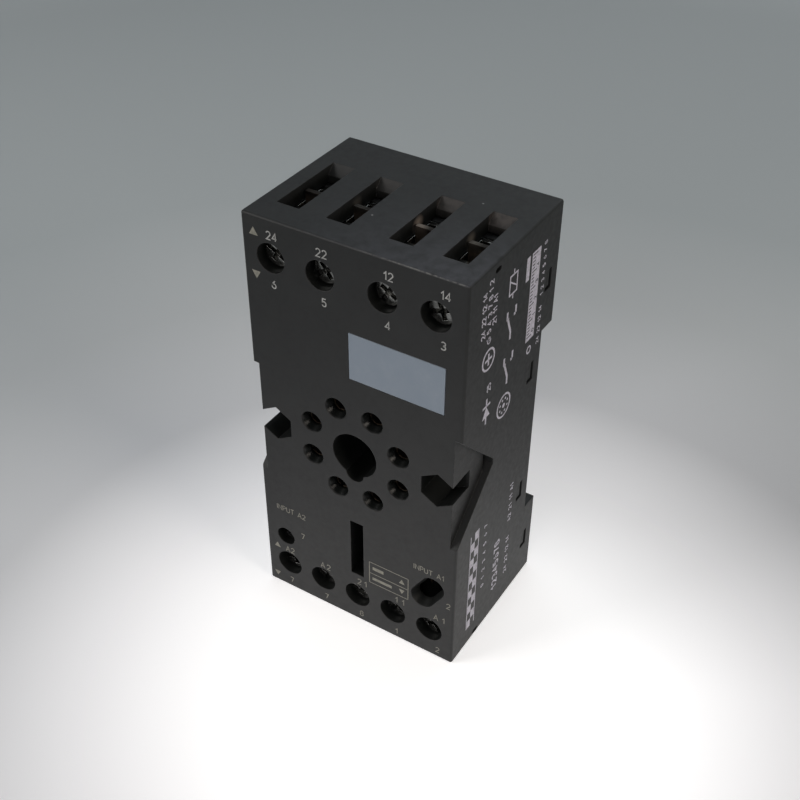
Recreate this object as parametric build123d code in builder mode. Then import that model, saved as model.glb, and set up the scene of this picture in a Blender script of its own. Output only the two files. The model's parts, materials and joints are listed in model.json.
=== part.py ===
from build123d import *
import math
import os

# Relay socket with eight round pin contacts and rising-cage screw clamps, standing on its end.
# X is the width, Y runs from the plug-in face to the rail side and Z is the height.
# The origin is the middle of the foot, so the plug-in face lies at Y = -depth / 2.
# All sizes are millimetres. A value called ..._depth is measured inwards from the plug-in face.

# Moulded body
width = 38.0
depth = 28.0
height = 76.0
front_wall = 1.8
side_wall = 1.9
outer_round = 0.4

# Rail seat and its notch in the back
rail_seat_inset = 3.5
notch_low = 17.0
notch_high = 54.6
rail_thickness_room = 1.2
hook_reach = 1.4
hook_side_inset = 3.0
hook_width = 8.0
rail_height = 35.0
rail_play = 0.2
hook_tip = 0.6

# Terminal screws, and the holes that they are reached through
screw_dia = 3.0
screw_length = 7.4
head_dia = 4.6
head_thickness = 1.9
head_recess_depth = 1.7
head_seat_gap = 0.1
head_chamfer = 0.2
tip_chamfer = 0.3
access_dia = 5.0
shoulder_thickness = 1.1
shank_clearance = 0.15
thread_clearance = 0.05
driver_slot_width = 0.8
driver_slot_deep = 0.8
driver_cross_span = 3.0
driver_cross_deep = 1.3

# Terminal rows
top_screw_inset = 6.5
top_inner_x = 5.3
top_side_inset = 5.0
bottom_screw_rise = 6.1
bottom_side_inset = 4.6

# Rising cages of the clamps
cage_width = 5.0
cage_length = 7.2
cage_side = 0.7
cage_plate = 1.4
cage_floor = 0.8
cage_clearance = 0.15
cage_stop_gap = 0.2
grip_gap = 0.3
clamp_travel = 3.2
chamber_wall = 1.5

# Wire entries in the two end faces
entry_width = 4.0
lead_in = 1.5

# Contact straps
strap_thickness = 0.8
strap_width = 2.6
tongue_width = 3.2
tip_gap = 0.3
tongue_end_inset = 1.0
eye_ring = 0.9
outer_elbow = 8.0
inner_elbow = 6.0
middle_elbow = 4.6

# Round pin contacts
pin_circle = 17.45
pin_centre_z = 38.0
pin_count = 8
sleeve_bore = 2.5
sleeve_wall = 0.4
sleeve_slit = 0.5
sleeve_tail = 0.8
sleeve_collar_thickness = 0.4
sleeve_collar_width = 0.45
sleeve_clearance = 0.1
eye_clearance = 0.02
throat_dia = 2.7
mouth_dia = 4.0
mouth_deep = 1.2
throat_end_depth = 1.6
pin_block_margin = 2.9

# Middle bore for the key post
key_bore_dia = 8.2
key_notch_radius = 1.65
key_notch_reach = 5.4

# Panel screw bosses at the sides
panel_screw_inset = 3.9
panel_hex_radius = 3.3
panel_hex_deep = 5.2
panel_hex_floor = 1.4
panel_hex_wall = 0.7
panel_screw_hole = 3.6
panel_boss_dia = 5.0

# Recesses in the sides for the feet of a hold-down clip
clip_recess_half_height = 11.1
clip_recess_reach = 10.6
clip_recess_deep = 1.2
clip_tip_half_height = 0.5
clip_pivot_length = 1.2
clip_pivot_deep = 0.75
cheek_thickness = 1.2
cheek_reach = 12.4

# Plug-in places of the small protection module
guide_slot_low = 11.2
guide_slot_high = 23.4
guide_slot_left = -1.15
guide_slot_right = 1.4
guide_slot_deep = 8.0
guide_slot_wall = 1.2
module_hole_inset = 4.13
module_hole_z = 12.5
module_hole_dia = 3.6
module_oblong_inset = 5.1
module_oblong_z = 14.7
module_oblong_length = 8.0
module_oblong_width = 4.4
module_oblong_tilt = 58.0
module_oblong_taper = 0.7
clip_strip = 0.35
clip_spread = 1.9
clip_throat = 1.1
clip_flare = 2.2
clip_height = 2.0
clip_top_depth = 3.2

# Marking panel
panel_side_inset = 3.2
panel_width = 16.4
panel_below_screws = 8.2
panel_height = 8.3
panel_thickness = 0.25
panel_clearance = 0.1

# Snap windows in the side walls and the catches of the rear cover
window_width = 2.0
window_height = 3.7
outer_window_inset = 1.9
inner_window_inset = 2.0
top_window_inset = 12.25
bottom_window_rise = 8.9
notch_window_gap = 6.2
catch_edge_gap = 0.1
catch_open_gap = 0.5
catch_face_inset = 0.15
arm_thickness = 1.2
arm_root = 0.5

# Small nicks in the side walls beside the end faces
nick_length = 1.7
nick_width = 0.8
nick_deep = 0.8
nick_depth = 8.1
nick_top_inset = 1.5
nick_foot_rise = 0.9

# Rear cover
cover_wall = 1.5
cover_clearance = 0.15
shelf_thickness = 1.2
shelf_gap = 0.4
press_gap = 0.05
ring_wall_thickness = 0.9
ring_wall_room = 2.3
rib_thickness = 1.2
rib_x = 11.0
boss_clearance = 0.15

# Rail latch and its spring
latch_width = 10.0
latch_neck_width = 8.0
latch_flange_thickness = 1.2
latch_end_z = 0.5
latch_nose_overlap = 1.2
latch_nose_slope = 2.0
latch_clearance = 0.15
latch_back_inset = 0.1
latch_block_width = 15.0
latch_block_deep = 4.7
latch_channel_floor = 0.35
latch_hole_width = 4.0
latch_hole_height = 1.2
latch_hole_rise = 1.0
spring_room_width = 2.9
spring_peg_z = 5.0
spring_peg_height = 1.5
spring_peg_width = 2.4
spring_length = 6.5
spring_wire = 0.36
spring_outer_dia = 2.3
spring_turns = 6.5
spring_seat_gap = 0.05

# Places worked out from the sizes above
half_width = width / 2
inner_half = half_width - side_wall
rail_seat_depth = depth - rail_seat_inset
chamber_front = head_recess_depth + head_thickness + head_seat_gap + shoulder_thickness
strap_front = head_recess_depth + head_thickness + screw_length + tip_gap
strap_back = strap_front + strap_thickness
cage_front = chamber_front + cage_stop_gap + clamp_travel
cage_floor_front = strap_back + grip_gap + clamp_travel
cage_back = cage_floor_front + cage_floor
shelf_front = cage_back + shelf_gap
shelf_back = shelf_front + shelf_thickness
chamber_width = cage_width + 2 * cage_clearance
chamber_length = cage_length + 2 * cage_clearance
top_screw_z = height - top_screw_inset
top_outer_x = half_width - top_side_inset
bottom_pitch = (half_width - bottom_side_inset) / 2
well_low = bottom_screw_rise - chamber_length / 2
well_high = top_screw_z + chamber_length / 2
middle_low = bottom_screw_rise + chamber_length / 2 + chamber_wall
middle_high = top_screw_z - chamber_length / 2 - chamber_wall
pin_radius = pin_circle / 2
pin_block_radius = pin_radius + pin_block_margin
sleeve_outer = sleeve_bore + 2 * sleeve_wall
eye_radius = sleeve_outer / 2 + eye_ring
panel_screw_x = half_width - panel_screw_inset
clip_recess_slope = (clip_recess_half_height - clip_tip_half_height) / clip_recess_reach
clip_pivot_start = clip_recess_reach - clip_pivot_length
clip_pivot_half_height = clip_tip_half_height + clip_recess_slope * clip_pivot_length
module_hole_x = module_hole_inset - half_width
module_oblong_x = half_width - module_oblong_inset
panel_right = half_width - panel_side_inset
panel_left = panel_right - panel_width
panel_high = top_screw_z - panel_below_screws
panel_low = panel_high - panel_height
outer_window_depth = depth - outer_window_inset - window_width
inner_window_depth = rail_seat_depth - inner_window_inset - window_width
cover_half = inner_half - cover_clearance
cover_low = well_low + cover_clearance
cover_high = well_high - cover_clearance
plate_front = rail_seat_depth - cover_wall
back_plate_front = depth - cover_wall
latch_front = rail_seat_depth + latch_channel_floor + latch_clearance
latch_step = latch_front + latch_flange_thickness
latch_back = depth - latch_back_inset
rail_low = notch_high - rail_height - rail_play
latch_nose_top = rail_low + latch_nose_overlap

# Terminal name, place across the width and turn of the driver slot
top_terminals = [
    ("24", -top_outer_x, -30),
    ("22", -top_inner_x, 35),
    ("12", top_inner_x, 60),
    ("14", top_outer_x, 20),
]
bottom_terminals = [
    ("a2_left", -2 * bottom_pitch, 10),
    ("a2_right", -bottom_pitch, 75),
    ("21", 0.0, -20),
    ("11", bottom_pitch, 50),
    ("a1", 2 * bottom_pitch, -55),
]


def front_plane(distance):
    """Plane that faces the viewer, at a distance behind the plug-in face."""
    return Plane.XZ.offset(depth / 2 - distance)


def y_at(distance):
    """Y coordinate of a depth behind the plug-in face."""
    return distance - depth / 2


def block(x_low, x_high, z_low, z_high, front, back, mode=Mode.ADD):
    """Box between two depths behind the plug-in face, added to or cut from the current part."""
    with BuildSketch(front_plane(front)) as face:
        with Locations(((x_low + x_high) / 2, (z_low + z_high) / 2)):
            Rectangle(x_high - x_low, z_high - z_low)
    extrude(face.sketch, amount=front - back, mode=mode)


def disc(x, z, radius, front, back, mode=Mode.ADD):
    """Round bar between two depths behind the plug-in face."""
    with BuildSketch(front_plane(front)) as face:
        with Locations((x, z)):
            Circle(radius)
    extrude(face.sketch, amount=front - back, mode=mode)


def side_prism(points, x_low, x_high, mode=Mode.ADD):
    """Prism across the width, from corners given as depth and height."""
    with BuildSketch(Plane.YZ.offset(x_low)) as face:
        Polygon([(y_at(d), z) for d, z in points], align=None)
    extrude(face.sketch, amount=x_high - x_low, mode=mode)


def pin_place(number):
    """X and Z of a pin contact; the count runs counter-clockwise from the key notch."""
    angle = math.radians(270 + (number - 0.5) * 360 / pin_count)
    return pin_radius * math.cos(angle), pin_centre_z + pin_radius * math.sin(angle)


def finish(part, label):
    """Names a finished piece and writes it out."""
    part.label = label
    export_step(part, f"parts/{label}.step")


os.makedirs("parts", exist_ok=True)

snap_windows = [
    (outer_window_depth, height - top_window_inset),
    (inner_window_depth, notch_high - notch_window_gap),
    (inner_window_depth, notch_low + notch_window_gap),
    (outer_window_depth, bottom_window_rise),
]
terminal_rows = [
    (top_screw_z, top_terminals, 1),
    (bottom_screw_rise, bottom_terminals, -1),
]
all_terminals = [(name, x, z, turn, up) for z, row, up in terminal_rows for name, x, turn in row]
pins = range(1, pin_count + 1)

# Housing: one deep moulding, open at the back, with the rail notch cut across its side walls
with BuildPart() as housing:
    with BuildSketch(Plane.YZ):
        with BuildLine():
            Polyline(
                (y_at(0), 0),
                (y_at(depth), 0),
                (y_at(depth), notch_low),
                (y_at(rail_seat_depth), notch_low),
                (y_at(rail_seat_depth), notch_high),
                (y_at(depth), notch_high),
                (y_at(depth), height),
                (y_at(0), height),
                close=True,
            )
        make_face()
    extrude(amount=half_width, both=True)
    long_edges = housing.edges().filter_by(Axis.Y).group_by(Axis.Z)
    fillet(long_edges[0] + long_edges[-1], outer_round)
    fillet(housing.faces().sort_by(Axis.Y)[0].edges(), outer_round)

    # Wells for the rear cover, the straps and the cages
    block(-inner_half, inner_half, well_low, well_high, shelf_front, depth, Mode.SUBTRACT)
    block(-inner_half, inner_half, middle_low - chamber_wall, middle_high + chamber_wall,
          strap_front, shelf_front, Mode.SUBTRACT)
    block(-inner_half, inner_half, middle_low, middle_high, front_wall, strap_front, Mode.SUBTRACT)
    for name, x, z, turn, up in all_terminals:
        block(x - chamber_width / 2, x + chamber_width / 2, z - chamber_length / 2,
              z + chamber_length / 2, chamber_front, shelf_front, Mode.SUBTRACT)

    # Pin block, panel screw bosses, cheeks behind the clip recesses and the guide slot's well
    disc(0, pin_centre_z, pin_block_radius, front_wall, strap_front)
    for side in (-1, 1):
        inside_x = side * (panel_screw_x - panel_hex_radius - panel_hex_wall)
        wall_x = side * inner_half
        block(min(inside_x, wall_x), max(inside_x, wall_x),
              pin_centre_z - panel_hex_radius - panel_hex_wall,
              pin_centre_z + panel_hex_radius + panel_hex_wall,
              front_wall, panel_hex_deep + panel_hex_floor)
        disc(side * panel_screw_x, pin_centre_z, panel_boss_dia / 2, panel_hex_deep, rail_seat_depth)
        cheek_x = side * (inner_half - cheek_thickness)
        block(min(cheek_x, wall_x), max(cheek_x, wall_x),
              pin_centre_z - clip_recess_half_height, pin_centre_z + clip_recess_half_height,
              front_wall, cheek_reach)
    block(guide_slot_left - guide_slot_wall, guide_slot_right + guide_slot_wall,
          guide_slot_low - guide_slot_wall, guide_slot_high + guide_slot_wall,
          front_wall, guide_slot_deep + guide_slot_wall)

    # Screw access holes with the shoulders that the heads bear on
    with Locations(front_plane(0)):
        with Locations([(x, z) for name, x, z, turn, up in all_terminals]):
            CounterBoreHole(
                radius=screw_dia / 2 + shank_clearance,
                counter_bore_radius=access_dia / 2,
                counter_bore_depth=chamber_front - shoulder_thickness,
                depth=chamber_front,
            )

    # Wire entries, each with a bevelled back edge that leads the wire in
    for name, x, z, turn, up in all_terminals:
        inside_z = z + up * chamber_length / 2
        outside_z = height if up > 0 else 0
        side_prism(
            [(chamber_front, inside_z), (shelf_back, inside_z), (shelf_back, outside_z - up * lead_in),
             (shelf_back + lead_in, outside_z), (chamber_front, outside_z)],
            x - entry_width / 2, x + entry_width / 2, Mode.SUBTRACT,
        )

    # Pin holes: a cone at the face, a throat, and a wider seat for the sleeve from behind
    for number in pins:
        pin_x, pin_z = pin_place(number)
        with BuildSketch(front_plane(0)) as mouth:
            with Locations((pin_x, pin_z)):
                Circle(mouth_dia / 2)
        with BuildSketch(front_plane(mouth_deep)) as throat:
            with Locations((pin_x, pin_z)):
                Circle(throat_dia / 2)
        loft([mouth.sketch.face(), throat.sketch.face()], mode=Mode.SUBTRACT)
        disc(pin_x, pin_z, throat_dia / 2, mouth_deep, throat_end_depth, Mode.SUBTRACT)
        disc(pin_x, pin_z, sleeve_outer / 2 + sleeve_clearance, throat_end_depth, strap_front,
             Mode.SUBTRACT)

    # Bore for the key post, with its notch towards the foot
    with BuildSketch(front_plane(0)) as key_bore:
        with Locations((0, pin_centre_z)):
            Circle(key_bore_dia / 2)
        with Locations((0, pin_centre_z - key_notch_reach + key_notch_radius)):
            Circle(key_notch_radius)
    extrude(key_bore.sketch, amount=-strap_front, mode=Mode.SUBTRACT)

    # Hexagon pockets and holes for the panel screws, open towards the clip recesses
    with BuildSketch(front_plane(0)) as hexagons:
        with Locations((-panel_screw_x, pin_centre_z), (panel_screw_x, pin_centre_z)):
            RegularPolygon(radius=panel_hex_radius, side_count=6, rotation=30)
    extrude(hexagons.sketch, amount=-panel_hex_deep, mode=Mode.SUBTRACT)
    for side in (-1, 1):
        disc(side * panel_screw_x, pin_centre_z, panel_screw_hole / 2, 0, rail_seat_depth,
             Mode.SUBTRACT)

    # Guide slot, round hole and tilted oblong hole of the protection module
    block(guide_slot_left, guide_slot_right, guide_slot_low, guide_slot_high, 0, guide_slot_deep,
          Mode.SUBTRACT)
    disc(module_hole_x, module_hole_z, module_hole_dia / 2, 0, front_wall, Mode.SUBTRACT)
    with BuildSketch(front_plane(0)) as oblong_mouth:
        with Locations((module_oblong_x, module_oblong_z)):
            SlotOverall(module_oblong_length, module_oblong_width, rotation=module_oblong_tilt)
    with BuildSketch(front_plane(front_wall)) as oblong_throat:
        with Locations((module_oblong_x, module_oblong_z)):
            SlotOverall(module_oblong_length - 2 * module_oblong_taper,
                        module_oblong_width - 2 * module_oblong_taper, rotation=module_oblong_tilt)
    loft([oblong_mouth.sketch.face(), oblong_throat.sketch.face()], mode=Mode.SUBTRACT)

    # Seat of the marking panel
    block(panel_left - panel_clearance, panel_right + panel_clearance, panel_low - panel_clearance,
          panel_high + panel_clearance, 0, panel_thickness, Mode.SUBTRACT)

    # Clip recesses with a deeper pivot at the tip, snap windows and nicks, alike on both sides
    for side in (-1, 1):
        face_x = side * half_width
        floor_x = side * (half_width - clip_recess_deep)
        pivot_x = side * (half_width - clip_recess_deep - clip_pivot_deep)
        for start, half_height, bottom_x in (
            (0, clip_recess_half_height, floor_x),
            (clip_pivot_start, clip_pivot_half_height, pivot_x),
        ):
            side_prism(
                [(start, pin_centre_z - half_height), (start, pin_centre_z + half_height),
                 (clip_recess_reach, pin_centre_z + clip_tip_half_height),
                 (clip_recess_reach, pin_centre_z - clip_tip_half_height)],
                min(face_x, bottom_x), max(face_x, bottom_x), Mode.SUBTRACT,
            )
        wall_x = side * inner_half
        for window_depth, window_z in snap_windows:
            block(min(face_x, wall_x), max(face_x, wall_x), window_z - window_height / 2,
                  window_z + window_height / 2, window_depth, window_depth + window_width,
                  Mode.SUBTRACT)
        for nick_z in (nick_foot_rise, height - nick_top_inset):
            with BuildSketch(Plane.YZ.offset(face_x)) as nick:
                with Locations((y_at(nick_depth), nick_z)):
                    SlotOverall(nick_length, nick_width)
            extrude(nick.sketch, amount=-side * nick_deep, mode=Mode.SUBTRACT)

    # Way out for the latch through the foot
    block(-latch_width / 2 - latch_clearance, latch_width / 2 + latch_clearance, 0, well_low,
          latch_front - latch_clearance, depth, Mode.SUBTRACT)
finish(housing.part, "housing")

# Marking panel, laid into its seat
with BuildPart() as marking_panel:
    block(panel_left, panel_right, panel_low, panel_high, 0, panel_thickness)
finish(marking_panel.part, "marking_panel")

# Rear cover: a stepped plate that closes the housing, holds the straps down and hooks on the rail
with BuildPart() as rear_cover:
    side_prism(
        [(depth, cover_low), (depth, notch_low), (rail_seat_depth, notch_low),
         (rail_seat_depth, notch_high), (depth, notch_high), (depth, cover_high),
         (back_plate_front, cover_high), (back_plate_front, notch_high + cover_wall),
         (plate_front, notch_high + cover_wall), (plate_front, notch_low - cover_wall),
         (back_plate_front, notch_low - cover_wall), (back_plate_front, cover_low)],
        -cover_half, cover_half,
    )

    # Shelves behind the cages, each with a lip that presses on the straps and ribs to the back
    shelves = [
        (middle_high + cover_clearance, cover_high, middle_high + cover_clearance,
         middle_high + chamber_wall - cover_clearance),
        (cover_low, middle_low - cover_clearance, middle_low - chamber_wall + cover_clearance,
         middle_low - cover_clearance),
    ]
    for shelf_low, shelf_high, lip_low, lip_high in shelves:
        block(-cover_half, cover_half, shelf_low, shelf_high, shelf_front, shelf_back)
        block(-cover_half, cover_half, lip_low, lip_high, strap_back + press_gap, shelf_front)
        for x in (-rib_x, 0, rib_x):
            block(x - rib_thickness / 2, x + rib_thickness / 2, shelf_low, shelf_high,
                  shelf_back, back_plate_front)

    # Round wall that presses on the eyes of the straps
    ring_inner = pin_radius + ring_wall_room
    disc(0, pin_centre_z, ring_inner + ring_wall_thickness, strap_back + press_gap, plate_front)
    disc(0, pin_centre_z, ring_inner, strap_back + press_gap, plate_front, Mode.SUBTRACT)

    # Clear ways around the panel screw bosses of the housing
    for side in (-1, 1):
        disc(side * panel_screw_x, pin_centre_z, panel_boss_dia / 2 + boss_clearance,
             strap_back + press_gap, rail_seat_depth, Mode.SUBTRACT)

    # Spring arms with catches that snap into the side windows
    for side in (-1, 1):
        for window_depth, window_z in snap_windows:
            catch_front = window_depth + catch_edge_gap
            catch_back = window_depth + window_width - catch_open_gap
            catch_high = window_z + window_height / 2 - catch_edge_gap
            catch_low = window_z - window_height / 2 + catch_open_gap
            plate = back_plate_front if window_depth == outer_window_depth else plate_front
            arm_x = sorted((side * (cover_half - arm_thickness), side * cover_half))
            catch_x = sorted((side * cover_half, side * (half_width - catch_face_inset)))
            block(arm_x[0], arm_x[1], catch_low, catch_high, catch_front - arm_root, plate)
            block(catch_x[0], catch_x[1], catch_low, catch_high, catch_front, catch_back)

    # Fixed hooks over the rail's upper edge
    for side in (-1, 1):
        hook_outer_x = cover_half - hook_side_inset
        hook_x = sorted((side * (hook_outer_x - hook_width), side * hook_outer_x))
        hook_front = rail_seat_depth + rail_thickness_room
        side_prism(
            [(hook_front, notch_high), (hook_front, notch_high - hook_reach),
             (hook_front + hook_tip, notch_high - hook_reach),
             (depth, notch_high - hook_reach / 2), (depth, notch_high)],
            hook_x[0], hook_x[1],
        )

    # Guide block of the latch, with a T-shaped channel and the peg that the spring stands on
    block(-latch_block_width / 2, latch_block_width / 2, cover_low, notch_low,
          depth - latch_block_deep, depth)
    block(-latch_width / 2 - latch_clearance, latch_width / 2 + latch_clearance, cover_low,
          notch_low, latch_front - latch_clearance, latch_step + latch_clearance, Mode.SUBTRACT)
    block(-latch_neck_width / 2 - latch_clearance, latch_neck_width / 2 + latch_clearance, cover_low,
          notch_low, latch_front - latch_clearance, depth, Mode.SUBTRACT)
    block(-spring_peg_width / 2, spring_peg_width / 2, spring_peg_z,
          spring_peg_z + spring_peg_height, latch_front - latch_clearance,
          latch_back - latch_back_inset)
finish(rear_cover.part, "rear_cover")

# Rail latch: a slider with side flanges, a sloping nose and a window for its spring
with BuildPart() as din_latch:
    side_prism(
        [(latch_front, latch_end_z), (latch_step, latch_end_z),
         (latch_step, rail_low - latch_clearance), (latch_front, rail_low - latch_clearance)],
        -latch_width / 2, latch_width / 2,
    )
    nose_front = rail_seat_depth + rail_thickness_room
    side_prism(
        [(latch_step, latch_end_z), (latch_back, latch_end_z),
         (latch_back, latch_nose_top - latch_nose_slope),
         (nose_front + latch_clearance, latch_nose_top), (nose_front, latch_nose_top),
         (nose_front, rail_low - latch_clearance), (latch_step, rail_low - latch_clearance)],
        -latch_neck_width / 2, latch_neck_width / 2,
    )
    spring_room_low = spring_peg_z - latch_clearance
    spring_room_high = spring_peg_z + spring_peg_height + spring_length
    block(-spring_room_width / 2, spring_room_width / 2, spring_room_low, spring_room_high,
          latch_front, latch_back, Mode.SUBTRACT)
    block(-latch_hole_width / 2, latch_hole_width / 2, latch_end_z + latch_hole_rise,
          latch_end_z + latch_hole_rise + latch_hole_height, latch_front, latch_back, Mode.SUBTRACT)
finish(din_latch.part, "din_latch")

# Spring of the latch, standing on its peg
spring_radius = (spring_outer_dia - spring_wire) / 2
spring_low = spring_peg_z + spring_peg_height + spring_seat_gap
spring_rise = spring_length - 2 * spring_seat_gap - spring_wire
spring_y = y_at((latch_front + latch_back) / 2)
with BuildPart() as latch_spring:
    with BuildLine(Plane((0, spring_y, spring_low + spring_wire / 2))) as coil:
        Helix(pitch=spring_rise / spring_turns, height=spring_rise, radius=spring_radius)
    with BuildSketch(Plane(origin=coil.line @ 0, z_dir=coil.line % 0)):
        Circle(spring_wire / 2)
    sweep(path=coil.line, is_frenet=True)
finish(latch_spring.part, "latch_spring")


def terminal_screw(x, z, turn):
    """Screw with a slotted cross recess in a low round head."""
    head_back = head_recess_depth + head_thickness
    with BuildPart() as screw:
        disc(x, z, head_dia / 2, head_recess_depth, head_back)
        chamfer(screw.faces().sort_by(Axis.Y)[0].edges(), head_chamfer)
        disc(x, z, screw_dia / 2, head_back, head_back + screw_length)
        chamfer(screw.faces().sort_by(Axis.Y)[-1].edges(), tip_chamfer)
        with BuildSketch(front_plane(head_recess_depth)) as slot:
            with Locations(Location((x, z), turn)):
                Rectangle(head_dia, driver_slot_width)
        extrude(slot.sketch, amount=-driver_slot_deep, mode=Mode.SUBTRACT)
        with BuildSketch(front_plane(head_recess_depth)) as cross:
            with Locations(Location((x, z), turn)):
                Rectangle(driver_cross_span, driver_slot_width)
                Rectangle(driver_slot_width, driver_cross_span)
        extrude(cross.sketch, amount=-driver_cross_deep, mode=Mode.SUBTRACT)
    return screw.part


def clamp_cage(x, z):
    """Rectangular tube around the strap, with a threaded front plate; it slides along the screw."""
    with BuildPart() as cage:
        block(x - cage_width / 2, x + cage_width / 2, z - cage_length / 2, z + cage_length / 2,
              cage_front, cage_back)
        fillet(cage.edges().filter_by(Axis.Z), cage_side / 2)
        block(x - cage_width / 2 + cage_side, x + cage_width / 2 - cage_side, z - cage_length / 2,
              z + cage_length / 2, cage_front + cage_plate, cage_floor_front, Mode.SUBTRACT)
        disc(x, z, screw_dia / 2 + thread_clearance, cage_front, cage_front + cage_plate,
             Mode.SUBTRACT)
    return cage.part


for name, x, z, turn, up in all_terminals:
    finish(terminal_screw(x, z, turn), f"terminal_screw_{name}")
    finish(clamp_cage(x, z), f"clamp_cage_{name}")


def contact_sleeve(number):
    """Slit tube that grips a round pin, with a collar behind its strap."""
    x, z = pin_place(number)
    sleeve_front = throat_end_depth + sleeve_clearance
    with BuildPart() as sleeve:
        disc(x, z, sleeve_outer / 2, sleeve_front, strap_back + sleeve_tail)
        disc(x, z, sleeve_outer / 2 + sleeve_collar_width, strap_back,
             strap_back + sleeve_collar_thickness)
        disc(x, z, sleeve_bore / 2, sleeve_front, strap_back + sleeve_tail, Mode.SUBTRACT)
        with BuildSketch(front_plane(sleeve_front)) as slit:
            with Locations(Location((x, z), math.degrees(math.atan2(z - pin_centre_z, x)))):
                with Locations((sleeve_outer / 2, 0)):
                    Rectangle(sleeve_outer, sleeve_slit)
        extrude(slit.sketch, amount=sleeve_front - strap_front, mode=Mode.SUBTRACT)
    return sleeve.part


# Route of each strap from its pin to one or more tongues
top_end = height - tongue_end_inset
bottom_end = tongue_end_inset
upper_pin_z = pin_place(6)[1]
top_pin_z = pin_place(5)[1]
outer_pin_x, lower_pin_z = pin_place(7)
bottom_pin_z = pin_place(8)[1]
strap_routes = {
    6: [[(-top_outer_x, upper_pin_z + outer_elbow), (-top_outer_x, top_end)]],
    5: [[(-top_inner_x, top_pin_z + inner_elbow), (-top_inner_x, top_end)]],
    4: [[(top_inner_x, top_pin_z + inner_elbow), (top_inner_x, top_end)]],
    3: [[(top_outer_x, upper_pin_z + outer_elbow), (top_outer_x, top_end)]],
    8: [[(0, bottom_pin_z - middle_elbow), (0, bottom_end)]],
    1: [[(bottom_pitch, bottom_pin_z - inner_elbow), (bottom_pitch, bottom_end)]],
    2: [[(2 * bottom_pitch, lower_pin_z - outer_elbow), (2 * bottom_pitch, bottom_end)]],
    7: [[(-2 * bottom_pitch, lower_pin_z - outer_elbow), (-2 * bottom_pitch, bottom_end)],
        [(outer_pin_x, lower_pin_z - inner_elbow), (-bottom_pitch, bottom_pin_z - inner_elbow),
         (-bottom_pitch, bottom_end)]],
}


def contact_strap(number):
    """Flat blanked strap: an eye around the sleeve, an arm, and a wider tongue in each cage."""
    pin_x, pin_z = pin_place(number)
    with BuildPart() as strap:
        with BuildSketch(front_plane(strap_front)) as blank:
            with Locations((pin_x, pin_z)):
                Circle(eye_radius)
            for route in strap_routes[number]:
                with BuildLine():
                    Polyline((pin_x, pin_z), *route)
                trace(line_width=strap_width)
                end_x, end_z = route[-1]
                root_z = middle_high if end_z > pin_z else middle_low
                with Locations((end_x, (end_z + root_z) / 2)):
                    Rectangle(tongue_width, abs(end_z - root_z))
            with Locations((pin_x, pin_z)):
                Circle(sleeve_outer / 2 + eye_clearance, mode=Mode.SUBTRACT)
        extrude(blank.sketch, amount=-strap_thickness)
    return strap.part


for number in pins:
    finish(contact_sleeve(number), f"contact_sleeve_{number}")
    finish(contact_strap(number), f"contact_strap_{number}")


def module_clip(x, z):
    """Sprung fork that takes a module's contact blade, standing on the strap."""
    foot = y_at(strap_front) - clip_strip / 2
    with BuildPart() as clip:
        with BuildSketch(Plane.XY.offset(z - clip_height / 2)) as bent:
            with BuildLine():
                Polyline(
                    (x - clip_flare / 2, y_at(clip_top_depth)),
                    (x - clip_throat / 2, y_at(clip_top_depth + clip_flare)),
                    (x - clip_spread / 2, y_at(clip_top_depth + 2 * clip_flare)),
                    (x - clip_spread / 2, foot),
                    (x + clip_spread / 2, foot),
                    (x + clip_spread / 2, y_at(clip_top_depth + 2 * clip_flare)),
                    (x + clip_throat / 2, y_at(clip_top_depth + clip_flare)),
                    (x + clip_flare / 2, y_at(clip_top_depth)),
                )
            trace(line_width=clip_strip)
        extrude(bent.sketch, amount=clip_height)
    return clip.part


finish(module_clip(module_hole_x, module_hole_z), "module_clip_a2")
finish(module_clip(module_oblong_x, module_oblong_z), "module_clip_a1")
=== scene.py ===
import json
import math

import bmesh
import bpy
from mathutils import Matrix, Vector


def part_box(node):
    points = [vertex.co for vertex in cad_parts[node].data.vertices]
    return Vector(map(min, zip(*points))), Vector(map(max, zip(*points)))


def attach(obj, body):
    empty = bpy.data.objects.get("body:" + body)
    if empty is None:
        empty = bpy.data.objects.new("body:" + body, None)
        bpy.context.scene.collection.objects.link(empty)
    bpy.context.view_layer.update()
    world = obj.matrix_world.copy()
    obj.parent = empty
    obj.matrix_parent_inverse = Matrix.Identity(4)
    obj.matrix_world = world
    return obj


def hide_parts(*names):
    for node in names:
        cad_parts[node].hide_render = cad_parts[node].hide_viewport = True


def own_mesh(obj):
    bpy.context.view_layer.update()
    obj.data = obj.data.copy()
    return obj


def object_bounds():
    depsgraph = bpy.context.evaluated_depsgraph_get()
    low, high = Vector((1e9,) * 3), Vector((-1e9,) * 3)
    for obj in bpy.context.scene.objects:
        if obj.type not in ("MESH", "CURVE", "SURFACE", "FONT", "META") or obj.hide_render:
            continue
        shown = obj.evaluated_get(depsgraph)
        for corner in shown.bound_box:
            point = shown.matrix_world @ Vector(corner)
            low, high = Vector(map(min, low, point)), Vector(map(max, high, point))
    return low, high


# Looks of the relay socket. Lengths are in metres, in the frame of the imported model. Two things are written
# in millimetres: places inside a material, measured from the model's origin, and places of prints, measured
# across from the left side, back from the plug-in face and up from the foot.
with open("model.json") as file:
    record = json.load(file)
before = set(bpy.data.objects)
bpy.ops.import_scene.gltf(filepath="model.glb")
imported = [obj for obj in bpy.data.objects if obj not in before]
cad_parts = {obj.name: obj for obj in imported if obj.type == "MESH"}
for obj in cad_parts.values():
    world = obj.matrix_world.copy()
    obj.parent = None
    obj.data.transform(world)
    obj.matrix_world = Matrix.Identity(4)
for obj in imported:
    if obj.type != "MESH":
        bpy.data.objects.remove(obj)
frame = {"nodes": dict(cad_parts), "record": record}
cad_low, cad_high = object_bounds()

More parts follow.
